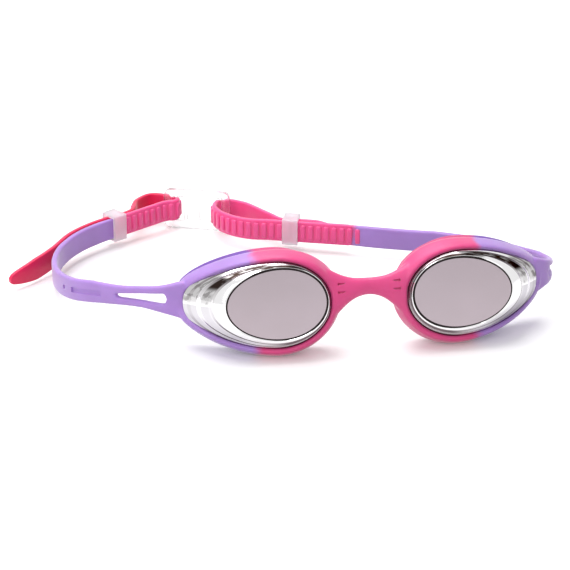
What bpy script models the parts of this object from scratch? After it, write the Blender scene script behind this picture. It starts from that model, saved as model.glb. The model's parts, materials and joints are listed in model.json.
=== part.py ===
"""Children's swim goggles, standing on a table.

Mirrored lens cups sit in a soft two-colour frame. Its forked arms run on into a strap, whose two
ridged ends loop round a clear buckle and come back through a keeper each.

Units are metres, +Z is up. X runs along the frame, the lenses face -Y, and the table is Z = 0.
"""

import math

import bmesh
import bpy
from mathutils import Matrix, Vector

MM = 0.001

# Lens cups: sizes are measured from the eye's centre, in the frame's own upright plane
EYE_SPACING = 64.0 * MM
WINDOW_HALF_LENGTH = 17.5 * MM
WINDOW_HALF_HEIGHT = 12.6 * MM
WINDOW_EGG = 0.066
WINDOW_RISE = 1.0 * MM
LENS_NASAL = 19.0 * MM
LENS_TEMPLE = 31.0 * MM
LENS_HALF_HEIGHT = 15.2 * MM
LENS_TAPER = 0.18
LENS_WALL = 1.8 * MM
LENS_EDGE = 2.0 * MM
BEZEL_DEPTH = 2.5 * MM
TEMPLE_SWEEP = 12.4 * MM
SWEEP_POWER = 2.2
RING_STEPS = 40

# Soft frame: the rim round each lens, the bridge and the place where its two colours meet
RIM_WIDTH = 3.9 * MM
RIM_DEPTH = 7.0 * MM
RIM_LIP = 0.6 * MM
COLOUR_ANGLE = math.radians(78)
BRIDGE_RISE = 4.3 * MM
BRIDGE_HEIGHT = 6.0 * MM
BRIDGE_THICKNESS = 4.0 * MM
BRIDGE_FLARE = 13.0 * MM
BRIDGE_BOW = 2.6 * MM
BRIDGE_DEPTH = 4.6 * MM

# Eye seals behind the rims
SEAL_DEPTH = 3.6 * MM
SEAL_WALL = 1.5 * MM
SEAL_FLARE = 1.0 * MM

# How the goggles stand: the front leans back on the lower rims, which flatten on the table
LEAN = math.radians(10)
CUP_HEIGHT = 20.0 * MM

# Strap and arms
STRAP_WIDTH = 8.4 * MM
STRAP_THICKNESS = 2.2 * MM
STRAP_HEIGHT = 8.0 * MM
STRAP_STEP = 3.2 * MM
ARM_THICKNESS = 2.4 * MM
FORK_SPREAD = 7.6 * MM
FORK_WINDOW = 2.7 * MM
FORK_START = 0.18
FORK_MEET = 0.68
HINGE_Y = 40.0 * MM
HINGE_HEIGHT = 13.8 * MM
TAIL_POINT = 12.0 * MM

# Keepers and the clear buckle
KEEPER_LENGTH = 6.0 * MM
KEEPER_WALL = 1.1 * MM
LAYER_SPACING = 2.7 * MM
BUCKLE_HEIGHT = 16.0 * MM
BUCKLE_THICKNESS = 2.6 * MM
BUCKLE_WEB = 10.6 * MM
BUCKLE_SLOT = 4.6 * MM
BUCKLE_BAR = 3.2 * MM
BUCKLE_TURN = math.radians(-20)

# Clearances
FIT_GAP = 0.3 * MM
SLIDE_GAP = 0.3 * MM
SWIVEL_GAP = 0.6 * MM
SWIVEL_REACH = 3.8 * MM
WELD = 0.004 * MM

LEFT, RIGHT = -1, 1
SIDE_NAMES = {LEFT: "left", RIGHT: "right"}
KEEPER_TURNS = {LEFT: math.radians(34), RIGHT: math.radians(160.4)}

# Routes in plan and height, chosen from how the soft strap lies, in steps of one unit.
# The arm's X runs outwards from the lens tip, that of the strap and the left tail from the hinge beside it,
# and all others from the nose.
ROUTE_UNIT = 1.0 * MM
ARM_ROUTES = {
    LEFT: ((0.2, 18.5, 18.3), (5.4, 19.4, 17.8), (12.5, 24.8, 16.4), (20.0, 31.6, 15.0)),
    RIGHT: ((0.2, 18.5, 18.3), (4.6, 20.0, 17.8), (7.6, 25.4, 16.4), (8.8, 32.2, 15.0)),
}
HINGE_OUT = {LEFT: 28.0, RIGHT: 7.6}
STRAP_ROUTES = {
    LEFT: (
        (6.2, 48.6, 11.8),
        (10.8, 59.5, 10.0),
        (12.2, 73.0, 8.6),
        (8.6, 86.0, 8.0),
        (1.8, 96.2, 8.0),
    ),
    RIGHT: (
        (-2.6, 47.0, 12.4),
        (-8.6, 56.5, 10.6),
        (-17.6, 65.8, 9.2),
        (-28.3, 73.2, 8.4),
        (-42.5, 79.4, 8.0),
    ),
}
KEEPER_CENTRES = {LEFT: (-77.5, 110.5), RIGHT: (-11.0, 95.6)}
BUCKLE_CENTRE = (-44.0, 122.5)
COLOUR_PLACE = {LEFT: -1.0, RIGHT: -23.0}
LOOP_START = {LEFT: 9.0, RIGHT: 8.0}
LOOP_END = {LEFT: 9.0, RIGHT: 3.6}
LOOP_FRONT = {LEFT: ((-62.5, 119.0),), RIGHT: ((-26.5, 99.2), (-32.8, 103.8), (-37.0, 110.2))}
LOOP_BACK = {LEFT: ((-60.0, 130.2), (-66.5, 125.0)), RIGHT: ((-26.3, 117.6), (-21.3, 110.0), (-17.3, 103.2))}
TAIL_ROUTES = {
    LEFT: ((4.4, 98.0, 7.6), (12.4, 86.8, 6.4), (19.6, 79.4, 5.3), (28.2, 73.4, 4.5)),
    RIGHT: ((4.6, 91.4, 8.0), (10.4, 89.2, 8.0)),
}
TAIL_STRAIGHT = 10.0

PINK = (0.86, 0.09, 0.28)
PURPLE = (0.36, 0.19, 0.63)


def clear_scene():
    for obj in list(bpy.data.objects):
        bpy.data.objects.remove(obj)


def collection(name):
    made = bpy.data.collections.new(name)
    bpy.context.scene.collection.children.link(made)
    return made


def material(name, colour, roughness, metallic=0.0, transmission=0.0):
    made = bpy.data.materials.new(name)
    made.use_nodes = True
    shader = made.node_tree.nodes["Principled BSDF"]
    shader.inputs["Base Color"].default_value = (*colour, 1.0)
    shader.inputs["Roughness"].default_value = roughness
    shader.inputs["Metallic"].default_value = metallic
    shader.inputs["Transmission Weight"].default_value = transmission
    return made


def add_object(name, mesh, group, finish=None):
    obj = bpy.data.objects.new(name, mesh)
    group.objects.link(obj)
    if finish:
        mesh.materials.append(finish)
    return obj


def loft(name, sections, group, finish=None, ring=False):
    """A solid through unlike closed sections. A ring also joins its last section to its first."""
    bm = bmesh.new()
    rows = [[bm.verts.new(point) for point in section] for section in sections]
    count = len(rows[0])
    pairs = list(zip(rows, rows[1:])) + ([(rows[-1], rows[0])] if ring else [])
    for near, far in pairs:
        for i in range(count):
            j = (i + 1) % count
            bm.faces.new((near[i], near[j], far[j], far[i]))
    if not ring:
        bm.faces.new(rows[0])
        bm.faces.new(rows[-1])
    bmesh.ops.triangulate(bm, faces=bm.faces)
    bmesh.ops.recalc_face_normals(bm, faces=bm.faces)
    mesh = bpy.data.meshes.new(name)
    bm.to_mesh(mesh)
    bm.free()
    return add_object(name, shaded(mesh), group, finish)


def shaded(mesh):
    mesh.shade_smooth()
    mesh.set_sharp_from_angle(angle=math.radians(40))
    return mesh


def block(name, size, group, finish=None):
    """A box about its own centre, with its size in the mesh."""
    bm = bmesh.new()
    bmesh.ops.create_cube(bm, size=1.0)
    bmesh.ops.scale(bm, vec=size, verts=bm.verts)
    mesh = bpy.data.meshes.new(name)
    bm.to_mesh(mesh)
    bm.free()
    return add_object(name, mesh, group, finish)


def welded(mesh):
    """Closes the hairline cracks that a Boolean between small faces leaves."""
    bm = bmesh.new()
    bm.from_mesh(mesh)
    bmesh.ops.triangulate(bm, faces=bm.faces)
    bmesh.ops.remove_doubles(bm, verts=bm.verts, dist=WELD)
    bmesh.ops.dissolve_degenerate(bm, edges=bm.edges, dist=WELD)
    bm.to_mesh(mesh)
    bm.free()
    return mesh


def boolean(target, other, operation):
    """Joins or cuts target with other, bakes the result into target and removes other.

    It works in millimetres, because the solver's tolerance suits faces of about one unit.
    """
    for obj in (target, other):
        obj.data.transform(Matrix.Scale(1 / MM, 4))
    modifier = target.modifiers.new(operation.lower(), "BOOLEAN")
    modifier.operation = operation
    modifier.object = other
    modifier.solver = "EXACT"
    bpy.context.view_layer.update()
    graph = bpy.context.evaluated_depsgraph_get()
    mesh = bpy.data.meshes.new_from_object(target.evaluated_get(graph))
    target.modifiers.remove(modifier)
    mesh.transform(Matrix.Scale(MM, 4))
    target.data = shaded(welded(mesh))
    bpy.data.objects.remove(other)
    return target


def eye_outline(angle):
    """A point of the lens edge from the eye's centre: x towards the temple, where it is longer, and z up."""
    reach = math.cos(angle)
    if reach < 0:
        return Vector((LENS_NASAL * reach, LENS_HALF_HEIGHT * math.sin(angle)))
    return Vector((LENS_TEMPLE * reach, LENS_HALF_HEIGHT * math.sin(angle) * (1 - LENS_TAPER * reach**2)))


def window_outline(angle):
    """A point of the flat window's egg-shaped edge, blunt towards the nose."""
    height = WINDOW_HALF_HEIGHT * math.sin(angle) * (1 - WINDOW_EGG * math.cos(angle))
    return Vector((WINDOW_HALF_LENGTH * math.cos(angle), height + WINDOW_RISE))


def edge_normal(angle, step=0.01):
    along = eye_outline(angle + step) - eye_outline(angle - step)
    return Vector((along.y, -along.x)).normalized()


def edge_depth(x):
    """How far behind the window the lens edge lies: it sweeps back towards the temple."""
    share = max(0.0, x + LENS_NASAL * 0.6) / (LENS_TEMPLE + LENS_NASAL * 0.6)
    return BEZEL_DEPTH + TEMPLE_SWEEP * share**SWEEP_POWER


def eye_point(side, across, depth):
    """A point in the frame's upright space, from its place across the eye and its depth behind the window."""
    return Vector((side * (EYE_SPACING / 2 + across.x), depth, across.y))


def ring_angles(start, end, steps):
    return [start + (end - start) * i / steps for i in range(steps + 1)]


def full_turn():
    return [2 * math.pi * i / RING_STEPS for i in range(RING_STEPS)]


def ring_section(side, angle, profile):
    """Profile points are (offset outwards from the lens edge, depth behind that edge)."""
    edge, normal = eye_outline(angle), edge_normal(angle)
    depth = edge_depth(edge.x)
    return [eye_point(side, edge + normal * out, depth + back) for out, back in profile]


def rim_profile():
    """The rim's section: a thin lip on the lens, a sloping front face and a rounded outer edge."""
    return (
        (FIT_GAP, -RIM_LIP * 0.3),
        (RIM_WIDTH * 0.3, -RIM_LIP),
        (RIM_WIDTH * 0.75, RIM_DEPTH * 0.3),
        (RIM_WIDTH, RIM_DEPTH * 0.72),
        (RIM_WIDTH * 0.86, RIM_DEPTH),
        (FIT_GAP + 0.5 * MM, RIM_DEPTH),
        (FIT_GAP, RIM_DEPTH - 0.5 * MM),
    )


def seal_profile():
    """The seal's section: it starts behind the rim and turns in to a soft lip against the face."""
    front = RIM_DEPTH + FIT_GAP
    outer = RIM_WIDTH * 0.6
    return (
        (outer - SEAL_WALL, front),
        (outer, front),
        (outer + SEAL_FLARE * 0.6, front + SEAL_DEPTH * 0.6),
        (outer + SEAL_FLARE * 0.2, front + SEAL_DEPTH),
        (outer - SEAL_WALL, front + SEAL_DEPTH * 0.9),
        (outer - SEAL_WALL * 0.8, front + SEAL_DEPTH * 0.5),
    )


def make_lens(side, group, finish):
    """A hollow cup: the flat window, the bezel that slopes to the lens edge, the edge and their inside."""
    edge = [eye_outline(angle) for angle in full_turn()]
    window = [window_outline(angle) for angle in full_turn()]
    normal = [edge_normal(angle) for angle in full_turn()]
    inner = [point - out * LENS_WALL for point, out in zip(edge, normal)]
    mid = [outer * 0.5 + flat * 0.5 for outer, flat in zip(edge, window)]

    def ring(points, depths):
        return [eye_point(side, point, depth) for point, depth in zip(points, depths)]

    depth = [edge_depth(point.x) for point in edge]
    sections = (
        ring(window, [0.0] * RING_STEPS),
        ring(mid, [d * 0.42 for d in depth]),
        ring(edge, depth),
        ring(edge, [d + LENS_EDGE for d in depth]),
        ring(inner, [d + LENS_EDGE for d in depth]),
        ring(mid, [d * 0.42 + LENS_WALL for d in depth]),
        ring(window, [LENS_WALL] * RING_STEPS),
    )
    return loft(f"{SIDE_NAMES[side]}_lens", sections, group, finish)


def make_rim_arc(name, side, start, end, steps, group, finish):
    sections = [ring_section(side, angle, rim_profile()) for angle in ring_angles(start, end, steps)]
    return loft(name, sections, group, finish)


def make_seal(side, group, finish):
    sections = [ring_section(side, angle, seal_profile()) for angle in full_turn()]
    return loft(f"{SIDE_NAMES[side]}_eye_seal", sections, group, finish, ring=True)


def bridge_section(x, reach):
    """An oval section of the bridge. Towards its ends it grows taller and bows out to follow the rims."""
    share = abs(x) / reach
    half_height = BRIDGE_HEIGHT / 2 + BRIDGE_FLARE / 2 * share**3
    half_depth = BRIDGE_THICKNESS / 2 * (1 + 0.25 * share**2)
    depth = BRIDGE_DEPTH - BRIDGE_THICKNESS * 0.2 * share
    rise = BRIDGE_RISE - (BRIDGE_RISE - WINDOW_RISE) * share**2
    points = []
    for i in range(16):
        angle = 2 * math.pi * i / 16
        bow = math.copysign(BRIDGE_BOW * share**3 * math.sin(angle) ** 2, x)
        back = depth + half_depth * math.cos(angle)
        points.append(Vector((x + bow, back, rise + half_height * math.sin(angle))))
    return points


def make_lens_room(side, group):
    """The space round a lens that the bridge's ends are cut back to, a little inside the rim."""
    edges = [eye_outline(angle) + edge_normal(angle) * FIT_GAP * 2 for angle in full_turn()]
    sections = [[eye_point(side, edge, depth) for edge in edges] for depth in (-RIM_DEPTH, RIM_DEPTH * 3)]
    return loft("lens_room", sections, group)


def make_front_frame(group, finish):
    """The pink shot: both nasal rims and the bridge, joined into one solid."""
    arcs = []
    for side in (LEFT, RIGHT):
        name = f"{SIDE_NAMES[side]}_nasal_rim"
        arcs.append(make_rim_arc(name, side, COLOUR_ANGLE, 2 * math.pi - COLOUR_ANGLE, 24, group, finish))
    reach = EYE_SPACING / 2 - LENS_NASAL - RIM_WIDTH * 0.4
    stations = [reach * (i / 5 - 1) for i in range(11)]
    bridge = loft("bridge", [bridge_section(x, reach) for x in stations], group, finish)
    for side in (LEFT, RIGHT):
        boolean(bridge, make_lens_room(side, group), "DIFFERENCE")
    frame = arcs[0]
    frame.name = "front_frame"
    for other in (bridge, arcs[1]):
        boolean(frame, other, "UNION")
    return frame


def route_slopes(points):
    """The direction of a smooth curve at each of its points, from the neighbours on both sides."""
    spans = [(far - near).length for near, far in zip(points, points[1:])]
    legs = [(far - near) / span for near, far, span in zip(points, points[1:], spans)]
    slopes = [legs[0]]
    for i in range(1, len(points) - 1):
        slopes.append((legs[i - 1] * spans[i] + legs[i] * spans[i - 1]) / (spans[i - 1] + spans[i]))
    return [*slopes, legs[-1]], spans


def smooth_route(points, step):
    """Points about one step apart on a smooth curve through the route's own points."""
    slopes, spans = route_slopes(points)
    fine = []
    for i, span in enumerate(spans):
        count = max(1, round(span / step))
        for k in range(count):
            t = k / count
            start = points[i] * (2 * t**3 - 3 * t**2 + 1) + slopes[i] * span * (t**3 - 2 * t**2 + t)
            end = points[i + 1] * (3 * t**2 - 2 * t**3) + slopes[i + 1] * span * (t**3 - t**2)
            fine.append(start + end)
    return [*fine, points[-1].copy()]


def route_sides(points):
    """The level direction square to the route at each point, to the right of the way it runs."""
    found = []
    for i in range(len(points)):
        along = points[min(i + 1, len(points) - 1)] - points[max(i - 1, 0)]
        found.append(Vector((along.y, -along.x, 0)).normalized())
    return found


def band_section(centre, across, half_thickness, low, high, chamfer=0.5 * MM):
    """A strap's section on edge, with its corners taken off."""
    corner = min(chamfer, half_thickness * 0.6, (high - low) * 0.3)
    outline = (
        (-half_thickness, low + corner),
        (-half_thickness + corner, low),
        (half_thickness - corner, low),
        (half_thickness, low + corner),
        (half_thickness, high - corner),
        (half_thickness - corner, high),
        (-half_thickness + corner, high),
        (-half_thickness, high - corner),
    )
    return [centre + across * out + Vector((0, 0, up)) for out, up in outline]


def in_metres(route, side=RIGHT, start=0.0):
    """A route's points in metres. A start sets its X that far out from the nose, to its own side."""
    points = []
    for out, back, up in route:
        place = Vector((out, back, up)) * ROUTE_UNIT
        points.append(Vector((side * (start + place.x), place.y, place.z)))
    return points


def lens_tip():
    return EYE_SPACING / 2 + LENS_TEMPLE


def hinge_point(side):
    return Vector((side * (lens_tip() + HINGE_OUT[side] * ROUTE_UNIT), HINGE_Y, HINGE_HEIGHT))


def arm_route(side):
    return [*in_metres(ARM_ROUTES[side], side, lens_tip()), hinge_point(side)]


def make_arm(points, group):
    """The arm before its window is cut: as tall as the fork at the rim and as the strap at the hinge."""
    sections = []
    for i, (point, across) in enumerate(zip(points, route_sides(points))):
        near = 1 - i / (len(points) - 1)
        half_height = STRAP_WIDTH / 2 + (FORK_SPREAD - STRAP_WIDTH / 2) * near**2.4
        half = (STRAP_THICKNESS + (ARM_THICKNESS - STRAP_THICKNESS) * near) / 2
        sections.append(band_section(point, across, half, -half_height, half_height))
    return loft("arm", sections, group)


def make_fork_window(points, group):
    """The opening between the fork's two branches, closing to a point where they meet."""
    first = round(len(points) * FORK_START)
    last = round(len(points) * FORK_MEET)
    sections = []
    for i, (point, across) in enumerate(zip(points, route_sides(points))):
        if first <= i <= last:
            half_height = FORK_WINDOW * (1 - 0.9 * ((i - first) / (last - first)) ** 1.3)
            sections.append(band_section(point, across, ARM_THICKNESS, -half_height, half_height))
    return loft("fork_window", sections, group)


def hinge_ball(group):
    """The round space that the strap's rounded end turns in."""
    bm = bmesh.new()
    bmesh.ops.create_uvsphere(bm, u_segments=16, v_segments=10, radius=STRAP_WIDTH / 2 + FIT_GAP * 2)
    mesh = bpy.data.meshes.new("hinge_ball")
    bm.to_mesh(mesh)
    bm.free()
    return add_object("hinge_ball", mesh, group)


def make_temple_frame(side, stand, group, finish):
    """The purple shot: the temple rim with its forked arm, made in the frame's own upright space."""
    limit = COLOUR_ANGLE - FIT_GAP / LENS_HALF_HEIGHT
    name = f"{SIDE_NAMES[side]}_temple_frame"
    frame = make_rim_arc(name, side, -limit, limit, 20, group, finish)
    route = smooth_route(arm_route(side), STRAP_STEP)
    to_upright = stand.inverted()
    arm = make_arm(route, group)
    window = make_fork_window(route, group)
    for piece in (arm, window):
        piece.data.transform(to_upright)
    boolean(arm, window, "DIFFERENCE")
    boolean(frame, arm, "UNION")
    ball = hinge_ball(group)
    ball.data.transform(to_upright @ Matrix.Translation(hinge_point(side)))
    return boolean(frame, ball, "DIFFERENCE")


def keeper_axes(side):
    """The keeper's direction towards the buckle, and the way from its front to its back layer, in plan."""
    turn = KEEPER_TURNS[side]
    along = Vector((math.cos(turn), math.sin(turn)))
    back = Vector((-along.y, along.x)) * (1 if side == LEFT else -1)
    return along, back


def keeper_centre(side):
    return Vector(KEEPER_CENTRES[side]) * ROUTE_UNIT


def layer_point(side, place, layer):
    """A point on one of the two strap layers: layer is -1 in front and 1 behind."""
    along, back = keeper_axes(side)
    flat = keeper_centre(side) + along * place * ROUTE_UNIT + back * layer * LAYER_SPACING / 2
    return flat.to_3d() + Vector((0, 0, STRAP_HEIGHT))


def buckle_axes():
    along = Vector((math.cos(BUCKLE_TURN), math.sin(BUCKLE_TURN)))
    return along, Vector((-along.y, along.x))


def buckle_point(along_place, back_place=0.0):
    along, back = buckle_axes()
    flat = Vector(BUCKLE_CENTRE) * ROUTE_UNIT + along * along_place + back * back_place
    return flat.to_3d() + Vector((0, 0, STRAP_HEIGHT))


def slot_place(side):
    return side * (BUCKLE_WEB + BUCKLE_SLOT) / 2


def bar_place(side):
    return side * (BUCKLE_WEB / 2 + BUCKLE_SLOT + BUCKLE_BAR / 2)


def on_strap(flat_points):
    return [Vector((x * ROUTE_UNIT, y * ROUTE_UNIT, STRAP_HEIGHT)) for x, y in flat_points]


def bar_turn(side):
    """The bend round the buckle's bar, from in front of it through the slot to behind it."""
    radius = (BUCKLE_THICKNESS + STRAP_THICKNESS) / 2 + SWIVEL_GAP
    centre = slot_place(side) + side * radius
    turns = [math.radians(degrees) for degrees in (-90, -45, 0, 45, 90)]
    return [buckle_point(centre - side * radius * math.cos(a), radius * math.sin(a)) for a in turns]


def loop_route(side):
    """The ridged end's centreline: from the colour change round the buckle's bar and out to the tail."""
    front_places = [COLOUR_PLACE[side], 0.0, LOOP_START[side] / 2, LOOP_START[side]]
    if side == RIGHT:
        front_places.insert(1, -TAIL_STRAIGHT)
    turn = bar_turn(side)
    tail_start = abs(hinge_point(LEFT).x) if side == LEFT else 0.0
    if side == RIGHT:
        turn[:2] = [buckle_point(slot_place(side), -SWIVEL_REACH)]
    return [
        *[layer_point(side, place, -1) for place in front_places],
        *on_strap(LOOP_FRONT[side]),
        *turn,
        *on_strap(LOOP_BACK[side]),
        *[layer_point(side, place, 1) for place in (LOOP_END[side], 0.0, -TAIL_STRAIGHT)],
        *in_metres(TAIL_ROUTES[side], side, tail_start),
    ]


def make_strap(side, group, finish):
    """The purple run from the hinge to the colour change. Its front end is round, to turn in the arm."""
    ends = [layer_point(side, COLOUR_PLACE[side] - FIT_GAP / ROUTE_UNIT, -1)]
    if side == LEFT:
        ends.insert(0, layer_point(side, -TAIL_STRAIGHT, -1))
    hinge = hinge_point(side)
    run = in_metres(STRAP_ROUTES[side], side, abs(hinge.x))
    route = smooth_route([hinge, *run, *ends], STRAP_STEP)
    sides = route_sides(route)
    radius = STRAP_WIDTH / 2
    along = Vector((route[1].x - route[0].x, route[1].y - route[0].y, 0)).normalized()
    sections = []
    for i in range(1, 6):
        angle = math.pi / 2 * i / 6
        centre = route[0] - along * radius * math.cos(angle)
        half = radius * math.sin(angle)
        sections.append(band_section(centre, sides[0], STRAP_THICKNESS / 2, -half, half))
    for point, across in zip(route, sides):
        sections.append(band_section(point, across, STRAP_THICKNESS / 2, -radius, radius))
    return loft(f"{SIDE_NAMES[side]}_strap", sections, group, finish)


def make_strap_end(side, group, finish):
    """The pink end: to the buckle, round its bar, back through the keeper and out to a pointed tail."""
    route = smooth_route(loop_route(side), STRAP_STEP * 0.75)
    sections = []
    left_over = 0.0
    for i in range(len(route) - 1, -1, -1):
        if i < len(route) - 1:
            left_over += (route[i + 1] - route[i]).length
        taper = min(1.0, 0.25 + 0.75 * math.sqrt(left_over / TAIL_POINT))
        across = route_sides(route)[i]
        half = STRAP_WIDTH / 2 * taper
        sections.append(band_section(route[i], across, STRAP_THICKNESS / 2, -half, half))
    return loft(f"{SIDE_NAMES[side]}_strap_end", sections, group, finish)


def rounded(obj, width, segments=2):
    bevel = obj.modifiers.new("rounded edges", "BEVEL")
    bevel.width = width
    bevel.segments = segments
    bevel.limit_method = "ANGLE"
    return obj


def make_keeper(side, group, finish):
    """A square sleeve round both strap layers."""
    opening_depth = LAYER_SPACING + STRAP_THICKNESS + 2 * SLIDE_GAP
    opening_height = STRAP_WIDTH + 2 * SLIDE_GAP
    outer = Vector((KEEPER_LENGTH, opening_depth + 2 * KEEPER_WALL, opening_height + 2 * KEEPER_WALL))
    name = f"{SIDE_NAMES[side]}_keeper"
    keeper = block(name, outer, group, finish)
    inside = block(f"{name}_opening", Vector((KEEPER_LENGTH * 2, opening_depth, opening_height)), group)
    boolean(keeper, inside, "DIFFERENCE")
    keeper.location = keeper_centre(side).to_3d() + Vector((0, 0, STRAP_HEIGHT))
    keeper.rotation_euler.z = KEEPER_TURNS[side]
    return rounded(keeper, KEEPER_WALL * 0.4, 1)


def make_buckle(group, finish):
    """A clear plate with a slot for each strap loop, turning about its left bar."""
    length = BUCKLE_WEB + 2 * (BUCKLE_SLOT + BUCKLE_BAR)
    plate = block("back_buckle", Vector((length, BUCKLE_THICKNESS, BUCKLE_HEIGHT)), group, finish)
    slot_height = STRAP_WIDTH + 6 * FIT_GAP
    for side in (LEFT, RIGHT):
        slot = block("buckle_slot", Vector((BUCKLE_SLOT, BUCKLE_THICKNESS * 3, slot_height)), group)
        slot.data.transform(Matrix.Translation((slot_place(side), 0, 0)))
        boolean(plate, slot, "DIFFERENCE")
    plate.data.transform(Matrix.Translation((-bar_place(LEFT), 0, 0)))
    plate.location = buckle_point(bar_place(LEFT))
    plate.location.z = BUCKLE_HEIGHT / 2
    plate.rotation_euler.z = BUCKLE_TURN
    return rounded(plate, BUCKLE_THICKNESS * 0.2, 1)


def flatten_base(obj, stand, group):
    """Takes off what would sink into the table, so that the soft rim stands flat on it."""
    size = EYE_SPACING * 4
    table = block("table_cut", Vector((size, size, size)), group)
    table.data.transform(stand.inverted() @ Matrix.Translation((0, 0, -size / 2)))
    return boolean(obj, table, "DIFFERENCE")


def centre_on_origin(root, pieces):
    """Moves the root so that the origin lies under the middle of the whole object."""
    bpy.context.view_layer.update()
    corners = [piece.matrix_world @ Vector(corner) for piece in pieces for corner in piece.bound_box]
    for axis in (0, 1):
        values = [corner[axis] for corner in corners]
        root.location[axis] = -(min(values) + max(values)) / 2


def main():
    clear_scene()
    group = collection("swim_goggles")
    root = bpy.data.objects.new("goggles_origin", None)
    group.objects.link(root)
    stand = Matrix.Translation((0, 0, CUP_HEIGHT)) @ Matrix.Rotation(-LEAN, 4, "X")
    front = bpy.data.objects.new("front_stand", None)
    group.objects.link(front)
    front.matrix_world = stand

    pink = material("pink_soft_frame", PINK, 0.45)
    purple = material("purple_soft_frame", PURPLE, 0.45)
    seal = material("seal_silicone", PINK, 0.5)
    mirror = material("mirror_lens", (0.72, 0.69, 0.71), 0.06, metallic=1.0)
    keeper_finish = material("frosted_keeper", (0.93, 0.9, 0.95), 0.35)
    clear = material("clear_buckle", (0.97, 0.97, 0.98), 0.05, transmission=0.9)

    leaning = [make_front_frame(group, pink)]
    lying = [make_buckle(group, clear)]
    for side in (LEFT, RIGHT):
        leaning.append(make_temple_frame(side, stand, group, purple))
        leaning.append(make_lens(side, group, mirror))
        leaning.append(make_seal(side, group, seal))
        lying.append(make_strap(side, group, purple))
        lying.append(make_strap_end(side, group, pink))
        lying.append(make_keeper(side, group, keeper_finish))
    for obj in leaning:
        if obj.name == "front_frame" or "seal" in obj.name:
            flatten_base(obj, stand, group)
        obj.parent = front
    front.parent = root
    for obj in lying:
        obj.parent = root
    centre_on_origin(root, leaning + lying)


main()
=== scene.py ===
# %% [markdown]
# # Children's swim goggles
#
# Two mirrored lens cups sit in a soft frame that is moulded in two colours. Forked arms run back into a
# strap, and the strap's ridged ends loop round a clear buckle and come back through a sleeve each.
# The CAD model already has every piece in its place. This lesson gives each piece its finished shape and
# its finish, and lets each piece but the two purple arm-and-strap pieces move with the CAD body it belongs
# to.

# %% Load the CAD frame
import json
import math

import bmesh
import bpy
from mathutils import Matrix, Vector

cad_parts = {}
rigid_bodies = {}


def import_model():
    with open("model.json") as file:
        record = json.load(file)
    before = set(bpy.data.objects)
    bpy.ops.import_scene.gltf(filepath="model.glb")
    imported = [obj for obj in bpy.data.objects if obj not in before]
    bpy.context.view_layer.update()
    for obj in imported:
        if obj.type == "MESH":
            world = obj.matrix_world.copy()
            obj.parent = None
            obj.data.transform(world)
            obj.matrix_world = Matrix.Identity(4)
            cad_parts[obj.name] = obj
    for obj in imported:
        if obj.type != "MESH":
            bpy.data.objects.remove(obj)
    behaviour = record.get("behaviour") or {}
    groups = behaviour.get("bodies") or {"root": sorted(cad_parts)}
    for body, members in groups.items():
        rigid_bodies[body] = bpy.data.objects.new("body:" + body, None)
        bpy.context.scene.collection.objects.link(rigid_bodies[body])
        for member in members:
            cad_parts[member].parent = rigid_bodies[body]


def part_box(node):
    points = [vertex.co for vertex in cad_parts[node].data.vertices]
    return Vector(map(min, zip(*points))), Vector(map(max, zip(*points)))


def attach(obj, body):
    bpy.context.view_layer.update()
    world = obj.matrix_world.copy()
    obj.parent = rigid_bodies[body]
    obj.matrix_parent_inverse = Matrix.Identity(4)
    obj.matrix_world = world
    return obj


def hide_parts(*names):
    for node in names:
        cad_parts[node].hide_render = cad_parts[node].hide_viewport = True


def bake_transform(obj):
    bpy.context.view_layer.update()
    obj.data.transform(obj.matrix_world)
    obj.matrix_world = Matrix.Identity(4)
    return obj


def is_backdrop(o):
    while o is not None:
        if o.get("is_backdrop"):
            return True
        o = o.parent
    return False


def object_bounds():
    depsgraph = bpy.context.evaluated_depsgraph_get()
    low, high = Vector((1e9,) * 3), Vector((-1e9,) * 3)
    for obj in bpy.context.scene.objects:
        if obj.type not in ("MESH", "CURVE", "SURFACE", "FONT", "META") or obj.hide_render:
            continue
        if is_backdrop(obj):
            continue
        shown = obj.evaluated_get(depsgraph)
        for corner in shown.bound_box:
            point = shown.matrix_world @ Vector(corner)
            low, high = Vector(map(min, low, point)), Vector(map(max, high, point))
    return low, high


for obj in list(bpy.data.objects):
    bpy.data.objects.remove(obj)
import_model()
cad_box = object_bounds()

# %% [markdown]
# ## One place to measure from
#
# The front is symmetrical about the nose, so sizes are easiest to give in millimetres from there. The CAD
# origin lies under the middle of the whole object, strap included. CAD boxes give the way from one to the
# other: those of the lenses find the nose, and that of a keeper finds how far forward the lenses are.

# %% Places in the CAD frame
MM = 0.001
LEFT, RIGHT = -1, 1
SIDE_NAMES = {LEFT: "left", RIGHT: "right"}
KEEPER_CENTRES = {LEFT: Vector((-77.5, 110.5)), RIGHT: Vector((-11.0, 95.6))}
KEEPER_TURNS = {LEFT: math.radians(34), RIGHT: math.radians(160.4)}
FRONT_HEIGHT, FRONT_LEAN = 20.0, math.radians(-10)


def box_centre(node):
    low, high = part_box(node)
    return (low + high) / 2


NOSE = (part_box("left_lens")[0].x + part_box("right_lens")[1].x) / 2
FRONT = box_centre("right_keeper").y - KEEPER_CENTRES[RIGHT].y * MM
SHIFT = Vector((NOSE, FRONT, 0))
STAND = Matrix.Translation((0, 0, FRONT_HEIGHT)) @ Matrix.Rotation(FRONT_LEAN, 4, "X")


def to_row(point):
    """From millimetres at the nose to metres in the CAD frame."""
    return Vector(point) * MM + SHIFT


def from_front(point):
    """From the upright space of the leaning front to the CAD frame."""
    return to_row(STAND @ Vector(point))


print("nose at", [round(v, 4) for v in SHIFT])

# %% [markdown]
# ## The outline of an eye
#
# Lens, rim and seal all follow one closed line, so that line is a formula and not a list of points. The
# nose half is a plain half ellipse. The temple half is longer and has a blunt tip, and its edge sweeps back
# round the side of the face. The flat window in the middle is a smaller egg.

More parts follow.
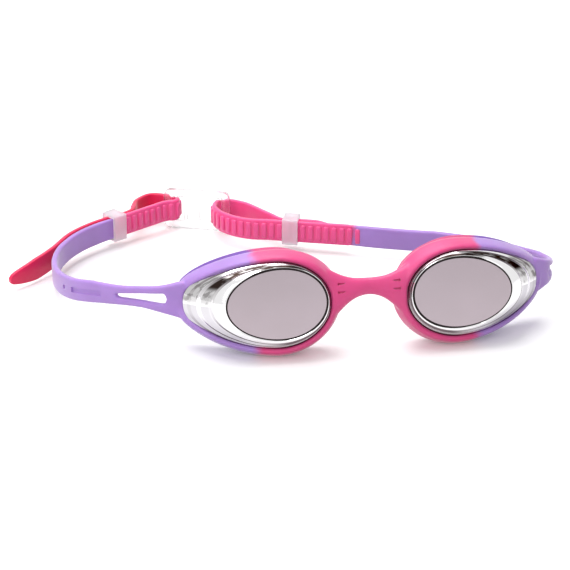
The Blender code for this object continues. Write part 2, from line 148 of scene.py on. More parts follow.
# %% Formulas for the eye
EYE_SPACING = 64.0
LENS_NASAL, LENS_TEMPLE, LENS_HALF_HEIGHT, LENS_TAPER = 19.0, 31.0, 15.2, 0.18
WINDOW_HALF_LENGTH, WINDOW_HALF_HEIGHT, WINDOW_EGG, WINDOW_RISE = 17.5, 12.6, 0.066, 1.0
TIP_BLUNT, TIP_POWER = 1.3, 14
BEZEL_DEPTH, TEMPLE_SWEEP, SWEEP_POWER, SWEEP_START = 2.5, 12.4, 2.2, LENS_NASAL * 0.6
RIM_WIDTH, RIM_DEPTH = 3.9, 7.0


def eye_outline(angle):
    """The lens edge, in millimetres from the middle of the eye. The angle is zero at the temple."""
    reach = math.cos(angle)
    if reach < 0:
        return Vector((LENS_NASAL * reach, LENS_HALF_HEIGHT * math.sin(angle)))
    length = LENS_TEMPLE * reach - TIP_BLUNT * reach**TIP_POWER
    return Vector((length, LENS_HALF_HEIGHT * math.sin(angle) * (1 - LENS_TAPER * reach**2)))


def edge_normal(angle, step=0.01):
    along = eye_outline(angle + step) - eye_outline(angle - step)
    return Vector((along.y, -along.x)).normalized()


def edge_depth(x):
    share = max(0.0, x + SWEEP_START) / (LENS_TEMPLE + SWEEP_START)
    return BEZEL_DEPTH + TEMPLE_SWEEP * share**SWEEP_POWER


def window_outline(angle):
    height = WINDOW_HALF_HEIGHT * math.sin(angle) * (1 - WINDOW_EGG * math.cos(angle))
    return Vector((WINDOW_HALF_LENGTH * math.cos(angle), height + WINDOW_RISE))


def eye_point(side, across, depth):
    return from_front((side * (EYE_SPACING / 2 + across.x), depth, across.y))


def turns(count):
    return [2 * math.pi * i / count for i in range(count)]


print("lens edge runs", round(edge_depth(LENS_TEMPLE), 1), "mm back at the temple")

# %% [markdown]
# ## Lofts
#
# Nearly every moulded piece here is one section carried along a line while it changes, so one helper is
# enough: it joins each loop of points to the next with four-sided faces. A Screw or a bevelled curve would
# do for a section that stays the same, but these don't.


# %% Loft helpers
def loft(bm, sections, ring=False, material=None):
    """Adds a skin through the sections. material gives the slot number of the faces after each section."""
    rows = [[bm.verts.new(point) for point in section] for section in sections]
    count = len(rows[0])
    pairs = list(zip(rows, rows[1:])) + ([(rows[-1], rows[0])] if ring else [])
    for index, (near, far) in enumerate(pairs):
        for i in range(count):
            j = (i + 1) % count
            face = bm.faces.new((near[i], near[j], far[j], far[i]))
            face.material_index = material[index] if material else 0
    if not ring:
        for row in (rows[0], rows[-1]):
            bm.faces.new(row)
    return rows


def linked(name, data):
    obj = bpy.data.objects.new(name, data)
    bpy.context.scene.collection.objects.link(obj)
    return obj


def finished(name, bm, smooth_angle=50):
    """Turns the faces outwards and makes an object of them, smooth but for its sharp edges."""
    bmesh.ops.recalc_face_normals(bm, faces=bm.faces)
    mesh = bpy.data.meshes.new(name)
    bm.to_mesh(mesh)
    bm.free()
    mesh.shade_smooth()
    mesh.set_sharp_from_angle(angle=math.radians(smooth_angle))
    return linked(name, mesh)


def evaluated_mesh(obj):
    """A new mesh of what the modifiers of an object make."""
    bpy.context.view_layer.update()
    graph = bpy.context.evaluated_depsgraph_get()
    return bpy.data.meshes.new_from_object(obj.evaluated_get(graph))


def bake(obj):
    """Keeps what the modifiers make and takes the modifiers off."""
    mesh = evaluated_mesh(obj)
    obj.modifiers.clear()
    obj.data = mesh


def coat(obj, finish):
    """Gives an object one finish in place of any other."""
    obj.data.materials.clear()
    obj.data.materials.append(finish)


# %% [markdown]
# ## The line of the strap
#
# Soft rubber lies in smooth curves, so the strap's line goes through a few points with a curve between
# them. The points lie close to those of the CAD strap. Each bit of the band stands on edge, so its section
# is set out from the level direction square to the line.

# %% Strap routes
STRAP_WIDTH, STRAP_THICKNESS, STRAP_HEIGHT = 8.4, 2.2, 8.0
HINGE = {LEFT: (-91.0, 40.0, 12.7), RIGHT: (70.6, 40.0, 12.4)}
ARM_ROUTES = {
    LEFT: ((-61.2, 16.4, 18.4), (-68.4, 18.8, 17.8), (-75.5, 24.8, 16.4), (-83.0, 31.6, 14.6)),
    RIGHT: ((61.2, 16.4, 18.4), (67.2, 20.2, 17.6), (70.4, 26.4, 16.0), (71.6, 32.6, 14.2)),
}
STRAP_ROUTES = {
    LEFT: (
        (-97.2, 48.6, 10.4),
        (-101.4, 59.5, 8.6),
        (-102.6, 73.0, 7.6),
        (-99.4, 86.0, 7.6),
        (-92.8, 96.2, 8.0),
    ),
    RIGHT: (
        (68.0, 47.0, 11.0),
        (62.0, 56.5, 9.8),
        (53.0, 65.8, 8.9),
        (42.3, 73.2, 8.4),
        (28.1, 79.4, 8.0),
    ),
}
print("arm routes end at", HINGE)


# %% Smooth lines
def route_slopes(points):
    spans = [(far - near).length for near, far in zip(points, points[1:])]
    legs = [(far - near) / span for near, far, span in zip(points, points[1:], spans)]
    slopes = [legs[0]]
    for i in range(1, len(points) - 1):
        slopes.append((legs[i - 1] * spans[i] + legs[i] * spans[i - 1]) / (spans[i - 1] + spans[i]))
    return [*slopes, legs[-1]], spans


def smooth_route(points, step):
    """Points about one step apart on a smooth curve through the given points."""
    points = [Vector(point) for point in points]
    slopes, spans = route_slopes(points)
    fine = []
    for i, span in enumerate(spans):
        count = max(1, round(span / step))
        for k in range(count):
            t = k / count
            start = points[i] * (2 * t**3 - 3 * t**2 + 1) + slopes[i] * span * (t**3 - 2 * t**2 + t)
            end = points[i + 1] * (3 * t**2 - 2 * t**3) + slopes[i + 1] * span * (t**3 - t**2)
            fine.append(start + end)
    return [*fine, points[-1]]


def route_sides(points):
    """The level direction square to the route at each point, to the right of the way it runs."""
    found = []
    for i in range(len(points)):
        along = points[min(i + 1, len(points) - 1)] - points[max(i - 1, 0)]
        found.append(Vector((along.y, -along.x, 0)).normalized())
    return found


# %% Strap section
def band_section(centre, across, inner, outer, low, high, corner=0.55):
    """A strap section on edge with rounded corners. inner and outer are its faces across the line."""
    corner = min(corner, (outer - inner) * 0.4, (high - low) * 0.3)
    points = []
    for quarter, (x, z) in enumerate(((outer, high), (inner, high), (inner, low), (outer, low))):
        middle_x = x - math.copysign(corner, x - (inner + outer) / 2)
        middle_z = z - math.copysign(corner, z - (low + high) / 2)
        for k in range(4):
            angle = math.pi / 2 * (quarter + k / 3)
            offset = across * (middle_x + corner * math.cos(angle))
            points.append(to_row(centre + offset + Vector((0, 0, middle_z + corner * math.sin(angle)))))
    return points


# %% [markdown]
# ## The soft frame
#
# On the real goggles the rims, the bridge, the arms and the strap are one piece of silicone, and they run
# into each other in soft fillets. Booleans would leave hard seams there. So the pieces are lofted a little
# into each other, a voxel Remesh fuses them into one skin, and a Smooth rounds what the voxels left.

# %% Rim sections
RING_STEPS, LIP_SINK = 120, 2.6
# Where the soft ring gets slimmer or fuller, as angles from the temple
BELOW, NOSEWARD, ABOVE = math.radians(-35), math.radians(140), math.radians(72)
SLIM_TEMPLE, SLIM_BELOW, SLIM_ABOVE, FULL_NOSE = 0.12, 0.15, 0.28, 0.09


def rim_profile(angle):
    """Points of the rim's section: outwards from the lens edge, and back. The lip sinks at the temple."""
    sunk = LIP_SINK * max(0.0, math.cos(angle)) ** 6
    return (
        (-0.15, 0.3 + sunk),
        (0.2, -0.5 + sunk),
        (1.2, -0.75 + sunk),
        (2.2, 0.2 + sunk),
        (RIM_WIDTH * 0.78, RIM_DEPTH * 0.3),
        (RIM_WIDTH, RIM_DEPTH * 0.66),
        (RIM_WIDTH * 0.98, RIM_DEPTH * 0.85),
        (RIM_WIDTH * 0.8, RIM_DEPTH),
        (0.8, RIM_DEPTH),
        (-0.15, RIM_DEPTH - 0.6),
    )


def slimness(angle):
    """The soft ring is slimmer above, below and by the temple, and fuller beside the nose."""
    low = (angle - BELOW + math.pi) % (2 * math.pi) - math.pi
    temple = max(0.0, math.cos(angle))
    lower = math.cos(1.5 * low) if abs(low) < math.pi / 3 else 0.0
    nose = max(0.0, math.cos(angle - NOSEWARD)) ** 2
    above = max(0.0, math.cos(angle - ABOVE)) ** 2
    return 1 - SLIM_TEMPLE * temple - SLIM_BELOW * lower + FULL_NOSE * nose - SLIM_ABOVE * above


def ring_section(side, angle, profile):
    edge, normal = eye_outline(angle), edge_normal(angle)
    depth, slim = edge_depth(edge.x), slimness(angle)
    return [eye_point(side, edge + normal * out * slim, depth + back) for out, back in profile]


# %% Rims and bridge
BRIDGE_RISE, BRIDGE_HEIGHT, BRIDGE_THICKNESS, BRIDGE_DEPTH = 4.3, 6.0, 4.2, 4.6
BRIDGE_REACH = EYE_SPACING / 2 - LENS_NASAL - RIM_WIDTH * 0.1
BRIDGE_FLARE, BRIDGE_BOW, BRIDGE_STEPS = 7.6, 1.6, 20


def bridge_section(x):
    """An oval section that grows taller towards the rims and bows out to follow them."""
    share = abs(x) / BRIDGE_REACH
    half_height = BRIDGE_HEIGHT / 2 + BRIDGE_FLARE * share**2.4
    half_depth = BRIDGE_THICKNESS / 2 * (1 + 0.95 * share**3)
    depth = BRIDGE_DEPTH - 0.8 * share + 1.7 * share**3
    rise = BRIDGE_RISE - (BRIDGE_RISE - WINDOW_RISE) * share**2
    points = []
    for angle in turns(24):
        bow = math.copysign(BRIDGE_BOW * share**3 * math.sin(angle) ** 2, x)
        back, height = depth + half_depth * math.cos(angle), rise + half_height * math.sin(angle)
        points.append(from_front((x + bow, back, height)))
    return points


soft = bmesh.new()
for side in (LEFT, RIGHT):
    loft(soft, [ring_section(side, angle, rim_profile(angle)) for angle in turns(RING_STEPS)], ring=True)
places = [BRIDGE_REACH * (i / (BRIDGE_STEPS / 2) - 1) for i in range(BRIDGE_STEPS + 1)]
loft(soft, [bridge_section(x) for x in places])
print("rims and bridge:", len(soft.faces), "faces")

# %% [markdown]
# ## Forked arms and the purple strap
#
# Each arm leaves the rim as two branches with a long window between them, and the branches meet in the
# strap. Two lofts that lie one above the other make the fork: where they overlap the Remesh joins them, and
# where they part the window is left open.

# %% Forks
FORK_SPREAD = {1: 6.9, -1: 8.1}
FORK_WINDOW, FORK_TIP, FORK_MEET = 1.9, 0.5, 0.71
FORK_START = {LEFT: 0.165, RIGHT: 0.27}
FORK_WAIST, FORK_OVERLAP, FORK_THICKENS, FORK_POWER = 0.6, 0.4, 0.4, 3.9
FORK_ROOT, FORK_GROWTH = 0.8, 4.0


def branch_sections(side, points, direction):
    """Sections of one branch of an arm: direction is 1 for the upper one and -1 for the lower one."""
    sections, start = [], FORK_START[side]
    for i, (point, across) in enumerate(zip(points, route_sides(points))):
        share = i / (len(points) - 1)
        slim_width = STRAP_WIDTH / 2 - FORK_WAIST * math.sin(math.pi * share)
        widening = (FORK_SPREAD[direction] - STRAP_WIDTH / 2) * (1 - share) ** FORK_POWER
        outer = slim_width + widening * min(1.0, FORK_ROOT + FORK_GROWTH * share)
        inner = -FORK_OVERLAP
        if start <= share <= FORK_MEET:
            along_window = (share - start) / (FORK_MEET - start)
            inner = FORK_WINDOW + (FORK_TIP - FORK_WINDOW) * along_window
        low, high = sorted((direction * inner, direction * outer))
        half = (STRAP_THICKNESS + FORK_THICKENS * (1 - share)) / 2
        sections.append(band_section(point, across, -half, half, low, high, 1.0))
    return sections


# %% Strap layers in the keepers
LAYER_PLACE, BEFORE_KEEPER = 1.35, -10.0


def keeper_axes(side):
    turn = KEEPER_TURNS[side]
    along = Vector((math.cos(turn), math.sin(turn)))
    return along, Vector((-along.y, along.x)) * -side


def layer_point(side, place, layer):
    """A point on one of the two strap layers in a keeper: layer is -1 in front and 1 behind."""
    along, back = keeper_axes(side)
    flat = KEEPER_CENTRES[side] + along * place + back * layer * LAYER_PLACE
    return Vector((flat.x, flat.y, STRAP_HEIGHT))


# %% Arms and strap
COLOUR_PLACE = {LEFT: -1.0, RIGHT: -23.0}
BAND_FACE, BAND_BACK, THIN_STEPS = 0.6, 1.05, 8
FINE_STEP, STRAP_STEP = 0.8, 1.2
strap_runs = {}
for side in (LEFT, RIGHT):
    arm = smooth_route([*ARM_ROUTES[side], HINGE[side]], FINE_STEP)
    for direction in (1, -1):
        loft(soft, branch_sections(side, arm, direction))
    ends = [layer_point(side, COLOUR_PLACE[side], -1)]
    if side == LEFT:
        ends.insert(0, layer_point(side, BEFORE_KEEPER, -1))
    run = smooth_route([arm[-2], HINGE[side], *STRAP_ROUTES[side], *ends], STRAP_STEP)
    sections, half_wide = [], STRAP_WIDTH / 2
    for i, (point, across) in enumerate(zip(run, route_sides(run))):
        thinning = max(0.0, 1 - (len(run) - 1 - i) / THIN_STEPS)
        face = STRAP_THICKNESS / 2 - (STRAP_THICKNESS / 2 - BAND_FACE) * thinning
        faces = sorted((-side * face, side * STRAP_THICKNESS / 2))
        sections.append(band_section(point, across, *faces, -half_wide, half_wide))
    loft(soft, sections)
    strap_runs[side] = [*arm[:-1], *run[1:]]
print("soft frame before it is fused:", len(soft.faces), "faces")

# %% Fuse
VOXEL = 0.0004
whole = finished("soft_whole", soft)
fuse = whole.modifiers.new("fuse", "REMESH")
fuse.mode = "VOXEL"
fuse.voxel_size = VOXEL
soften = whole.modifiers.new("soften", "SMOOTH")
soften.factor = 0.5
soften.iterations = 10
bake(whole)
print("soft frame in one skin:", len(whole.data.polygons), "faces")

# %% [markdown]
# ## Small recesses
#
# The mould leaves a long shallow recess and a small dimple on the outside of each strap, and two short
# slits on either side of the bridge, where the rubber bends. One mesh holds all the cutters, and one
# Boolean sinks them.

# %% Recesses
RECESS_DEPTH, CUTTER_RISE = 0.6, 1.0
# Each slit: how far it is from the nose, how high, and how far back its bottom is, in millimetres
SLIT_PLACES = ((9.7, 6.2, 3.1), (9.7, 3.4, 2.6))
SLIT_CORNERS = ((-1.4, -0.15), (1.2, -0.5), (1.2, 0.5), (-1.4, 0.15))
# Each recess of a strap: how far back it starts and ends, and half its height, in millimetres
STRAP_RECESSES = ((36.4, 48.8, 1.05), (52.0, 54.8, 0.8))
cutters = bmesh.new()
for side, run in strap_runs.items():
    steps = list(zip(run, route_sides(run)))
    faces = sorted(side * (STRAP_THICKNESS / 2 + rise) for rise in (-RECESS_DEPTH, CUTTER_RISE))
    for start, end, half in STRAP_RECESSES:
        bits = [bit for bit in steps if start < bit[0].y < end]
        loft(cutters, [band_section(point, across, *faces, -half, half) for point, across in bits])
    for x, z, bottom in SLIT_PLACES:
        corners = [(side * (x + a), z + b) for a, b in SLIT_CORNERS]
        loft(cutters, [[from_front((a, depth, b)) for a, b in corners] for depth in (-CUTTER_RISE, bottom)])
recesses = finished("recesses", cutters)
sink = whole.modifiers.new("sink", "BOOLEAN")
sink.operation = "DIFFERENCE"
sink.solver = "MANIFOLD"
sink.object = recesses
bake(whole)
bpy.data.objects.remove(recesses)
print("soft frame with its recesses:", len(whole.data.polygons), "faces")

# %% [markdown]
# ## Two colours
#
# Pink and purple are two shots of one rubber. The fused skin is cut at the seams in the rims, so that each
# piece stands for its own CAD nodes. A temple frame and the strap behind it stay one piece of rubber, which
# is not attached to a body.

# %% Split by colour
SEAM_X, FRONT_END, SMOOTH_SKIN = 38.5 * MM, 10 * MM, 60
HINGE_Y = HINGE[LEFT][1] * MM + FRONT


def piece_of(name, belongs):
    """The faces of the fused frame that belong to one colour, closed where they were cut from the rest."""
    bm = bmesh.new()
    bm.from_mesh(whole.data)
    for x in (NOSE - SEAM_X, NOSE + SEAM_X):
        everything = bm.verts[:] + bm.edges[:] + bm.faces[:]
        bmesh.ops.bisect_plane(bm, geom=everything, plane_co=(x, 0, 0), plane_no=(1, 0, 0))
    others = [face for face in bm.faces if not belongs(face.calc_center_median())]
    bmesh.ops.delete(bm, geom=others, context="FACES")
    bmesh.ops.holes_fill(bm, edges=[edge for edge in bm.edges if edge.is_boundary])
    return finished(name, bm, SMOOTH_SKIN)


def is_front(place):
    return abs(place.x - NOSE) < SEAM_X and place.y < HINGE_Y - FRONT_END


pink_front = piece_of("pink_front_frame", is_front)
purple = {
    LEFT: piece_of("purple_left_arm_and_strap", lambda place: place.x < NOSE - SEAM_X),
    RIGHT: piece_of("purple_right_arm_and_strap", lambda p: not is_front(p) and p.x > NOSE - SEAM_X),
}
bpy.data.objects.remove(whole)
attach(pink_front, "frame")
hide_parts("front_frame")
for side, piece in purple.items():
    name = SIDE_NAMES[side]
    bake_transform(piece)
    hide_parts(f"{name}_temple_frame", f"{name}_strap")
print("pink faces:", len(pink_front.data.polygons))
print("purple faces:", [len(piece.data.polygons) for piece in purple.values()])

# %% [markdown]
# ## The ridged strap ends
#
# The pink end of each strap runs to the buckle, bends round its bar, comes back through the keeper and ends
# in a loose pointed tail. It is one band along one line, so a loft along that line makes it. The length
# along the strap is kept as a UV, so the finish can tell where on the strap a point is.

# %% Lines of the strap ends
BUCKLE_CENTRE, BUCKLE_TURN = Vector((-44.0, 122.5)), math.radians(-20)
SLOT_PLACE, BAR_RADIUS, SWIVEL_REACH = 7.6, 3.0, 3.8
LOOP_START = {LEFT: 9.0, RIGHT: 8.0}
LOOP_END = {LEFT: 9.0, RIGHT: 3.6}
LOOP_FRONT = {LEFT: ((-62.5, 119.0),), RIGHT: ((-26.5, 99.2), (-32.8, 103.8), (-37.0, 110.2))}
LOOP_BACK = {
    LEFT: ((-61.4, 132.6), (-67.4, 127.2)),
    RIGHT: ((-26.3, 117.6), (-21.3, 110.0), (-17.3, 103.2)),
}
TAIL_ROUTES = {
    LEFT: ((-95.4, 98.0, 7.6), (-103.4, 86.8, 6.4), (-110.6, 79.4, 5.3), (-119.2, 73.4, 4.5)),
    RIGHT: ((4.6, 91.4, 7.4), (10.4, 89.2, 6.8)),
}
TAIL_POINT, TAIL_TIP, TUCKED, UNTUCKS = 12.0, 0.25, 0.92, 0.05
# How far along each end its finish counts the length. The right end stops early and stays a lighter pink
DEEPEST = {LEFT: 200.0, RIGHT: 30.0}
RIDGE_FACE, SCARF = 1.25, 1.5


def buckle_point(along_place, back_place):
    along = Vector((math.cos(BUCKLE_TURN), math.sin(BUCKLE_TURN)))
    flat = BUCKLE_CENTRE + along * along_place + Vector((-along.y, along.x)) * back_place
    return Vector((flat.x, flat.y, STRAP_HEIGHT))


def end_route(side):
    """The line of a strap end: to the buckle, round its bar, back through the keeper, out to the tail."""
    centre = side * (SLOT_PLACE + BAR_RADIUS)
    bend = [math.radians(degrees) for degrees in (-90, -45, 0, 45, 90)]
    turn = [buckle_point(centre - side * BAR_RADIUS * math.cos(a), BAR_RADIUS * math.sin(a)) for a in bend]
    front_places = [COLOUR_PLACE[side] - SCARF, 0.0, LOOP_START[side] / 2, LOOP_START[side]]
    if side == RIGHT:
        front_places.insert(1, BEFORE_KEEPER)
        turn[:2] = [buckle_point(side * SLOT_PLACE, -SWIVEL_REACH)]
    return smooth_route(
        [
            *[layer_point(side, place, -1) for place in front_places],
            *[Vector((x, y, STRAP_HEIGHT)) for x, y in LOOP_FRONT[side]],
            *turn,
            *[Vector((x, y, STRAP_HEIGHT)) for x, y in LOOP_BACK[side]],
            *[layer_point(side, place, 1) for place in (LOOP_END[side], 0.0, BEFORE_KEEPER)],
            *TAIL_ROUTES[side],
        ],
        FINE_STEP,
    )


# %% Bands of the strap ends
def route_lengths(points):
    lengths = [0.0]
    for near, far in zip(points, points[1:]):
        lengths.append(lengths[-1] + (far - near).length)
    return lengths


def make_strap_end(side):
    """The band of a strap end. It starts tucked into the strap, and its face leaves room for the ridges."""
    route = end_route(side)
    lengths = route_lengths(route)
    bm = bmesh.new()
    sections = []
    for point, across, length in zip(route, route_sides(route), lengths):
        left_over = lengths[-1] - length
        half = STRAP_WIDTH / 2 * min(1.0, TAIL_TIP + (1 - TAIL_TIP) * math.sqrt(left_over / TAIL_POINT))
        tuck = min(1.0, TUCKED + UNTUCKS * length / SCARF)
        faces = sorted((-side * BAND_FACE * tuck, side * BAND_BACK * tuck))
        sections.append(band_section(point, across, *faces, -half * tuck, half * tuck))
    rows = loft(bm, sections)
    layer = bm.loops.layers.uv.new("along")
    place = {vert: length for row, length in zip(rows, lengths) for vert in row}
    for face in bm.faces:
        for loop in face.loops:
            loop[layer].uv = (min(place[loop.vert], DEEPEST[side]) / 100, loop.vert.co.z * 10)
    return finished(f"{SIDE_NAMES[side]}_pink_strap_end", bm), route, lengths


strap_ends = {side: make_strap_end(side) for side in (LEFT, RIGHT)}
for side, (band, route, lengths) in strap_ends.items():
    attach(band, "strap")
    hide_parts(f"{SIDE_NAMES[side]}_strap_end")
    print(band.name, "is", round(lengths[-1]), "mm long")

# %% [markdown]
# ## Ridges along the ends
#
# Small upright ridges on the outside of each loop let fingers grip the strap while it is pulled tight. They
# are all alike and follow the line of the strap, which is work for Geometry Nodes: a curve on the outer
# face is cut into even steps, and a rounded bar is put on each step and turned to the curve.


# %% Ridge tree
def new_group(name, kind, inputs, outputs):
    """A node group with the given sockets, and its input and output nodes."""
    tree = bpy.data.node_groups.new(name, kind)
    for way, sockets in (("INPUT", inputs), ("OUTPUT", outputs)):
        for socket, holds in sockets.items():
            tree.interface.new_socket(socket, in_out=way, socket_type=f"NodeSocket{holds}")
    return tree, tree.nodes.new("NodeGroupInput"), tree.nodes.new("NodeGroupOutput")


def ridge_tree():
    tree, start, end = new_group(
        "ridges_along_curve",
        "GeometryNodeTree",
        {"Geometry": "Geometry", "Pitch": "Float", "Bar Size": "Vector", "Material": "Material"},
        {"Geometry": "Geometry"},
    )
    add = tree.nodes.new
    steps, place = add("GeometryNodeResampleCurve"), add("GeometryNodeInstanceOnPoints")
    bar, soft_bar = add("GeometryNodeMeshCube"), add("GeometryNodeSubdivisionSurface")
    tangent, turn = add("GeometryNodeInputTangent"), add("FunctionNodeAlignRotationToVector")
    real, finish = add("GeometryNodeRealizeInstances"), add("GeometryNodeSetMaterial")
    steps.mode = "LENGTH"
    turn.axis = "X"
    turn.pivot_axis = "Z"
    soft_bar.inputs["Level"].default_value = 2
    soft_bar.inputs["Edge Crease"].default_value = 0.7
    for source, output, target, socket in (
        (start, "Geometry", steps, "Curve"),
        (start, "Pitch", steps, "Length"),
        (start, "Bar Size", bar, "Size"),
        (bar, "Mesh", soft_bar, "Mesh"),
        (tangent, "Tangent", turn, "Vector"),
        (steps, "Curve", place, "Points"),
        (soft_bar, "Mesh", place, "Instance"),
        (turn, "Rotation", place, "Rotation"),
        (place, "Instances", real, "Geometry"),
        (real, "Geometry", finish, "Geometry"),
        (start, "Material", finish, "Material"),
        (finish, "Geometry", end, "Geometry"),
    ):
        tree.links.new(source.outputs[output], target.inputs[socket])
    return tree


ridges_tree = ridge_tree()
print("ridge tree has", len(ridges_tree.nodes), "nodes")

# %% Ridge lines
RIDGE_PITCH, RIDGE_SIZE = 3.0, (1.9, 1.0, 6.0)
RIDGES_BEFORE = {LEFT: -3.0, RIGHT: 3.0}
RIDGES_LEAD, RIDGES_STOP = 3.0, 14.0


def ridge_curve(side, route, lengths):
    """A curve along the outer face of a strap end, from near its start to a little before its tip."""
    sides = route_sides(route)
    points = [(layer_point(side, COLOUR_PLACE[side] - RIDGES_BEFORE[side], -1), sides[0])]
    for point, across, length in zip(route, sides, lengths):
        if max(0.0, RIDGES_LEAD - RIDGES_BEFORE[side]) <= length < lengths[-1] - RIDGES_STOP:
            points.append((point, across))
    lift = (RIDGE_FACE - RIDGE_SIZE[1] / 2) * -side
    points = [to_row(point + across * lift) for point, across in points]
    curve = bpy.data.curves.new("ridge_line", "CURVE")
    curve.dimensions = "3D"
    spline = curve.splines.new("POLY")
    spline.points.add(len(points) - 1)
    for slot, point in zip(spline.points, points):
        slot.co = (*point, 1)
    return linked("ridge_line", curve)


# %% Make ridges
def set_inputs(modifier, values):
    """Sets a node modifier's inputs by the names that its tree gives them."""
    for item in modifier.node_group.interface.items_tree:
        if item.in_out == "INPUT" and item.name in values:
            modifier[item.identifier] = values[item.name]


def make_ridges(side, finish):
    line = ridge_curve(side, *strap_ends[side][1:])
    modifier = line.modifiers.new("ridges", "NODES")
    modifier.node_group = ridges_tree
    bar_size = [value * MM for value in RIDGE_SIZE]
    set_inputs(modifier, {"Pitch": RIDGE_PITCH * MM, "Bar Size": bar_size, "Material": finish})
    mesh = evaluated_mesh(line)
    mesh.shade_smooth()
    bpy.data.objects.remove(line)
    ridges = linked(f"{SIDE_NAMES[side]}_strap_ridges", mesh)
    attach(ridges, "strap")
    return ridges


# %% [markdown]
# ## Lens cups
#
# Each lens is one hard moulding: a flat window, a narrow groove round it, and a bezel that slopes back to
# the edge in three shallow bands. The whole front is mirror coated. It is lofted ring by ring from the
# window outwards, over the edge and back inside, so it has a real wall. UVs keep the way round and the way
# out, for the finish to paint along them.

# %% Lens rings
LENS_STEPS, LENS_SHARP = 160, 14
WINDOW, GROOVE, BEZEL, INSIDE = range(4)
WINDOW_INSET, LIP_INSET, GROOVE_INSET, BEZEL_INSET = 0.9, 0.68, 0.62, 0.12
GROOVE_DEPTH, LENS_WALL, WINDOW_WALL = 0.3, 1.6, 1.8
FLANGE_OUT, FLANGE_FRONT, FLANGE_BACK = 0.5, 0.8, 2.0
BEZEL_STEPS = (0.345, 0.665)
# Each bezel ring: how far out it is from window edge to lens edge, and how proud it stands, in millimetres
BEZEL_RINGS = (
    (0.05, 0.10),
    (0.16, 0.30),
    (0.33, 0.35),
    (0.36, 0.02),
    (0.50, 0.15),
    (0.65, 0.22),
    (0.68, -0.10),
    (0.84, 0.05),
    (0.96, 0.05),
)


def bezel_depth(share, depth):
    """The bezel's slope: gentle by the window, steeper towards the edge."""
    return depth * (0.75 * share + 0.25 * share**2)


# %% Lenses
def make_lens(side):
    angles = turns(LENS_STEPS)
    edges = [eye_outline(angle) for angle in angles]
    windows = [window_outline(angle) for angle in angles]
    normals = [edge_normal(angle) for angle in angles]
    depths = [edge_depth(edge.x) for edge in edges]
    middle = Vector((0.0, WINDOW_RISE))

    def between(share):
        return [flat.lerp(edge, share) for flat, edge in zip(windows, edges)]

    def inset(points, amount):
        return [point + (middle - point).normalized() * amount for point in points]

    rings, shares, slots = [], [], []

    def add(points, back, share, slot):
        rings.append([eye_point(side, point, depth) for point, depth in zip(points, back)])
        shares.append(share)
        slots.append(slot)

    level, sunk = [0.0] * LENS_STEPS, [GROOVE_DEPTH] * LENS_STEPS
    add(inset(windows, WINDOW_INSET), level, -0.1, WINDOW)
    add(inset(windows, LIP_INSET), level, -0.05, GROOVE)
    add(inset(windows, GROOVE_INSET), sunk, 0.0, GROOVE)
    add(inset(windows, BEZEL_INSET), sunk, 0.0, BEZEL)
    for share, proud in BEZEL_RINGS:
        add(between(share), [bezel_depth(share, depth) - proud for depth in depths], share, BEZEL)
    add(edges, depths, 1.0, BEZEL)
    under = [edge + normal * FLANGE_OUT for edge, normal in zip(edges, normals)]
    inner = [edge - normal * LENS_WALL for edge, normal in zip(edges, normals)]
    for points, back in ((under, FLANGE_FRONT), (under, FLANGE_BACK), (inner, FLANGE_BACK)):
        add(points, [depth + back for depth in depths], 1.0, INSIDE)
    add(between(0.5), [bezel_depth(0.5, depth) + LENS_WALL for depth in depths], 0.5, INSIDE)
    add(windows, [WINDOW_WALL] * LENS_STEPS, 0.0, INSIDE)
    bm = bmesh.new()
    rows = loft(bm, rings, material=slots)
    bm.faces.ensure_lookup_table()
    bm.faces[-2].material_index = WINDOW
    bm.faces[-1].material_index = INSIDE
    layer = bm.loops.layers.uv.new("round_and_out")
    place = {}
    for row, share in zip(rows, shares):
        place.update((vert, (i / LENS_STEPS, share)) for i, vert in enumerate(row))
    for face in bm.faces:
        turn = [place[loop.vert][0] for loop in face.loops]
        for loop in face.loops:
            around, share = place[loop.vert]
            loop[layer].uv = (around + 1 if max(turn) - around > 0.5 else around, share)
    name = SIDE_NAMES[side]
    lens = finished(f"{name}_mirror_lens", bm, LENS_SHARP)
    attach(lens, "frame")
    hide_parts(f"{name}_lens")
    return lens


lenses = {side: make_lens(side) for side in (LEFT, RIGHT)}
print("lens faces:", [len(lens.data.polygons) for lens in lenses.values()])

# %% [markdown]
# ## Eye seals
#
# A thin soft lip behind each rim shuts the water out. It is the same loft as the rim with a thinner, curled
# section, and it is a little see-through, so it gets its own object and finish.

# %% Seals
SEAL_PROFILE = (
    (0.8, 6.9),
    (2.35, 6.9),
    (2.65, 8.2),
    (2.95, 9.6),
    (2.75, 10.5),
    (2.2, 10.8),
    (1.4, 10.6),
    (1.0, 10.2),
    (1.15, 8.8),
)
SEAL_FLARE, FLARE_ANGLE = 0.29, math.radians(74)


def seal_section(side, angle):
    """The lip flares out a little at the top, where it shows behind the rim."""
    away = abs(angle - FLARE_ANGLE) * 2.0
    flare = 1 + SEAL_FLARE * (math.cos(away) if away < math.pi / 2 else 0.0)
    return ring_section(side, angle, [(out * flare, back) for out, back in SEAL_PROFILE])


def make_seal(side):
    bm = bmesh.new()
    loft(bm, [seal_section(side, angle) for angle in turns(RING_STEPS)], ring=True)
    name = SIDE_NAMES[side]
    seal = finished(f"{name}_soft_seal", bm, SMOOTH_SKIN)
    rounded = seal.modifiers.new("rounded", "SUBSURF")
    rounded.levels = rounded.render_levels = 1
    bake(seal)
    seal.data.shade_smooth()
    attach(seal, "frame")
    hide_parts(f"{name}_eye_seal")
    return seal


seals = {side: make_seal(side) for side in (LEFT, RIGHT)}
print("seal faces:", [len(seal.data.polygons) for seal in seals.values()])

